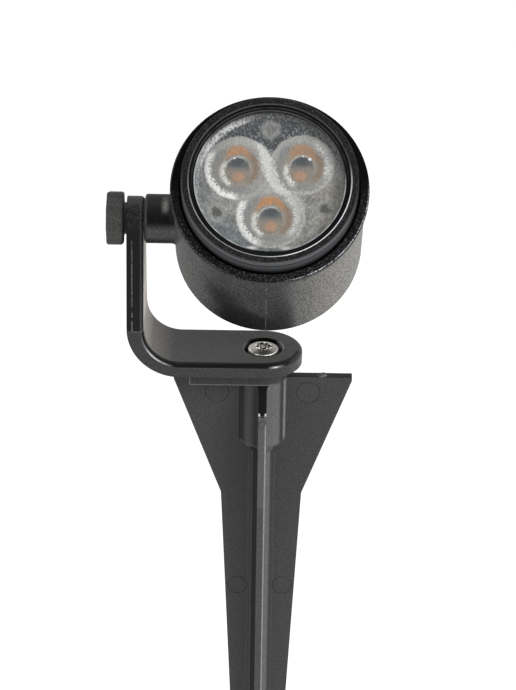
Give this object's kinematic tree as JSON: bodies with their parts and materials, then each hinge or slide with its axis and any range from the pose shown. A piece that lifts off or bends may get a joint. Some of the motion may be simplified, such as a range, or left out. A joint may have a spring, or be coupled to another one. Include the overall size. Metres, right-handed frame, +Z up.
{
  "type": "garden spike spotlight",
  "caption": "Small adjustable outdoor spotlight: a round lens head on a side bracket, tilted by a clamping knob and fixed to a four-winged ground spike.",
  "frame": {"origin": "on the spike's axis at the ground line, level with the top of its wings", "axes": "+Z up along the spike, the light looks towards -Y and up, the knob and bracket arm are on the -X side"},
  "size_m": [0.0657, 0.0638, 0.2746],
  "materials": {
    "spike_plastic": "moulded, satin",
    "bracket_paint": "black powder coat, smooth satin",
    "housing_paint": "black powder coat, fine texture",
    "bezel_paint": "black anodised or coated, fine grain",
    "knob_plastic": "moulded, matte",
    "stainless": "stainless steel",
    "washer_nylon": "black nylon",
    "brass_insert": "turned, knurled",
    "friction_rubber": "nitrile sheet",
    "glass": "clear, polished",
    "optic_clear": "clear moulded optic with frosted faces",
    "seal_rubber": "silicone",
    "gland_plastic": "moulded nylon",
    "led_dome": "amber phosphor under a clear dome",
    "board": "white solder mask",
    "driver_board": "green solder mask",
    "spreader": "turned",
    "thermal_pad": "grey silicone pad",
    "inductor": "ferrite bobbin with its winding",
    "capacitor_can": "sleeved aluminium can",
    "lead_insulation": "insulated wire"
  },
  "bodies": {
    "base": {"ground_spike": "spike_plastic", "spike_insert": "brass_insert", "foot_screw": "stainless", "bracket": "bracket_paint", "friction_washer": "friction_rubber"},
    "washer": {"clamp_washer": "washer_nylon"},
    "knob": {"knob": "knob_plastic", "knob_stud": "stainless"},
    "head": {"lamp_housing": "housing_paint", "pivot_insert": "brass_insert", "bezel_ring": "bezel_paint", "front_glass": "glass", "glass_gasket": "seal_rubber", "bezel_seal": "seal_rubber", "optic_array": "optic_clear", "light_emitters": "led_dome", "light_board": "board", "thermal_pad": "thermal_pad", "heat_spreader": "spreader", "board_screws": "stainless", "driver_board": "driver_board", "driver_screws": "stainless", "driver_inductor": "inductor", "driver_capacitors": "capacitor_can", "supply_leads": "lead_insulation", "gland_body": "gland_plastic", "gland_locknut": "gland_plastic", "gland_seal": "seal_rubber", "gland_cap": "gland_plastic"}
  },
  "joints": [
    {"name": "head_tilt", "type": "hinge", "parent": "base", "child": "head", "pos_m": [0, 0, 0.0446], "axis": [-1, 0, 0], "range_deg": [-91, 89]},
    {"name": "washer_slide", "type": "slide", "parent": "base", "child": "washer", "axis": [-1, 0, 0], "range_m": [0, 0.0016]},
    {"name": "knob_turn", "type": "hinge", "parent": "washer", "child": "knob", "pos_m": [0, 0, 0.0446], "axis": [-1, 0, 0], "range_deg": [0, 720]}
  ],
  "couplings": [
    {"joint": "knob_turn", "follows": "washer_slide", "rad_per_m": 7854}
  ]
}
